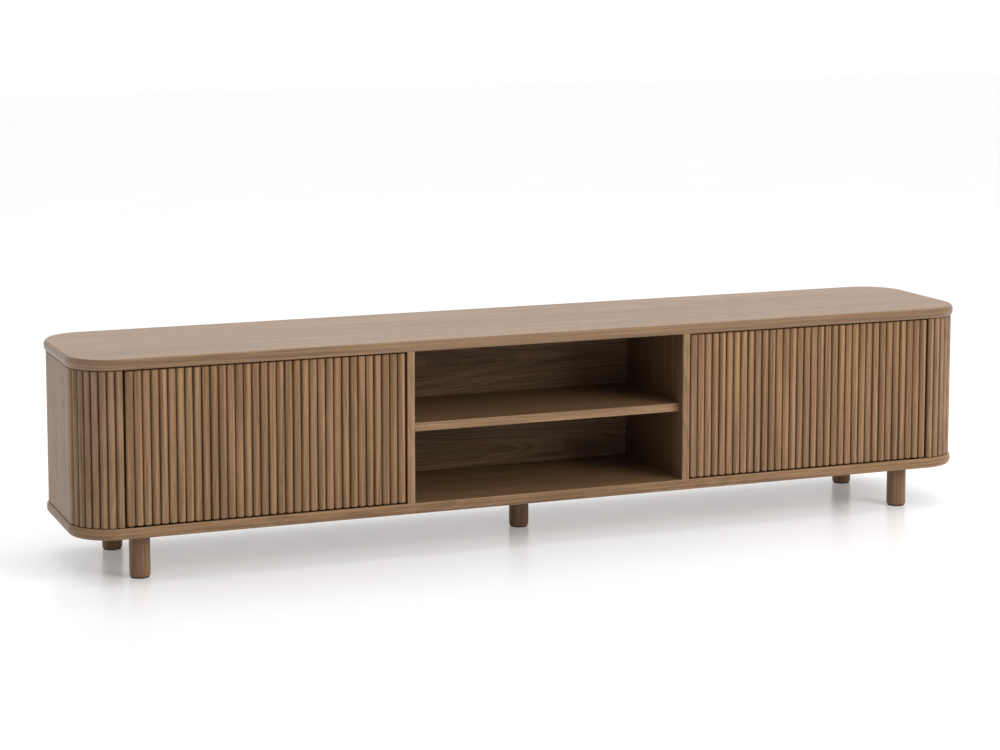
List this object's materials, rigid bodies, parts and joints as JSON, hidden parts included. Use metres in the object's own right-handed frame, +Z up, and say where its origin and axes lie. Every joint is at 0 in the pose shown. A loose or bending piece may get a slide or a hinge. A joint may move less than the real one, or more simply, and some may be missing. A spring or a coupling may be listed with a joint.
{
  "type": "media cabinet",
  "caption": "Long, low wooden media cabinet with rounded ends, fluted hinged doors on both sides, an open middle bay with a shelf, and short round legs.",
  "frame": {"origin": "on the floor, under the middle of the cabinet", "axes": "+X to the right seen from the front, along the length; +Y from the doors to the back; +Z up"},
  "size_m": [2, 0.376, 0.45],
  "materials": {
    "oak_top": "satin clear lacquer",
    "oak_face": "satin clear lacquer",
    "oak_inside": "satin clear lacquer",
    "hidden_wood": "bare",
    "steel": "zinc plated",
    "white_plastic": "matte",
    "brown_plastic": "matte",
    "glide_felt": "matte",
    "magnet": "bright nickel"
  },
  "bodies": {
    "carcass": {"top_panel": "oak_top", "bottom_panel": "oak_top", "left_back_panel": "oak_inside", "right_back_panel": "oak_inside", "centre_back_panel": "oak_inside", "centre_shelf": "oak_inside", "shelf_pins": "steel", "foot_glides": "glide_felt", "leg_bolts": "steel", "leg_inserts": "steel", "cam_locks": "steel", "cam_bolts": "steel", "dowels": "hidden_wood", "back_screws": "steel", "cable_grommets": "brown_plastic", "pivot_plates": "steel", "pivot_pins": "steel", "pivot_screws": "steel", "thrust_washers": "white_plastic", "latch_screws": "steel", "leg_front_left": "oak_face", "leg_rear_left": "oak_face", "leg_front_right": "oak_face", "leg_rear_right": "oak_face", "leg_centre": "oak_face", "left_divider": "oak_face", "left_inner_side": "oak_inside", "left_side_panel": "oak_face", "left_front_corner": "oak_face", "left_rear_corner": "oak_face", "left_shelf": "oak_inside", "left_latch_housing": "white_plastic", "left_latch_spring": "steel", "right_divider": "oak_face", "right_inner_side": "oak_inside", "right_side_panel": "oak_face", "right_front_corner": "oak_face", "right_rear_corner": "oak_face", "right_shelf": "oak_inside", "right_latch_housing": "white_plastic", "right_latch_spring": "steel"},
    "left_door": {"left_door_core": "oak_inside", "left_door_slats": "oak_face", "left_door_hinge_stile": "oak_face", "left_door_meeting_stile": "oak_face", "left_door_bushes": "white_plastic", "left_strike_plate": "steel", "left_strike_screw": "steel"},
    "left_plunger": {"left_latch_plunger": "white_plastic", "left_plunger_magnet": "magnet"},
    "right_door": {"right_door_core": "oak_inside", "right_door_slats": "oak_face", "right_door_hinge_stile": "oak_face", "right_door_meeting_stile": "oak_face", "right_door_bushes": "white_plastic", "right_strike_plate": "steel", "right_strike_screw": "steel"},
    "right_plunger": {"right_latch_plunger": "white_plastic", "right_plunger_magnet": "magnet"}
  },
  "joints": [
    {"name": "left_door_hinge", "type": "hinge", "parent": "carcass", "child": "left_door", "pos_m": [-0.8905, -0.175, 0.271], "axis": [0, 0, -1], "range_deg": [0, 100]},
    {"name": "left_latch_slide", "type": "slide", "parent": "carcass", "child": "left_plunger", "axis": [0, -1, 0], "range_m": [0, 0.014], "deforming": ["left_latch_spring"]},
    {"name": "right_door_hinge", "type": "hinge", "parent": "carcass", "child": "right_door", "pos_m": [0.8905, -0.175, 0.271], "axis": [0, 0, 1], "range_deg": [0, 100]},
    {"name": "right_latch_slide", "type": "slide", "parent": "carcass", "child": "right_plunger", "axis": [0, -1, 0], "range_m": [0, 0.014], "deforming": ["right_latch_spring"]}
  ],
  "couplings": [
    {"joint": "left_latch_slide", "follows": "left_door_hinge", "m_per_rad": 0.008021},
    {"joint": "right_latch_slide", "follows": "right_door_hinge", "m_per_rad": 0.008021}
  ]
}
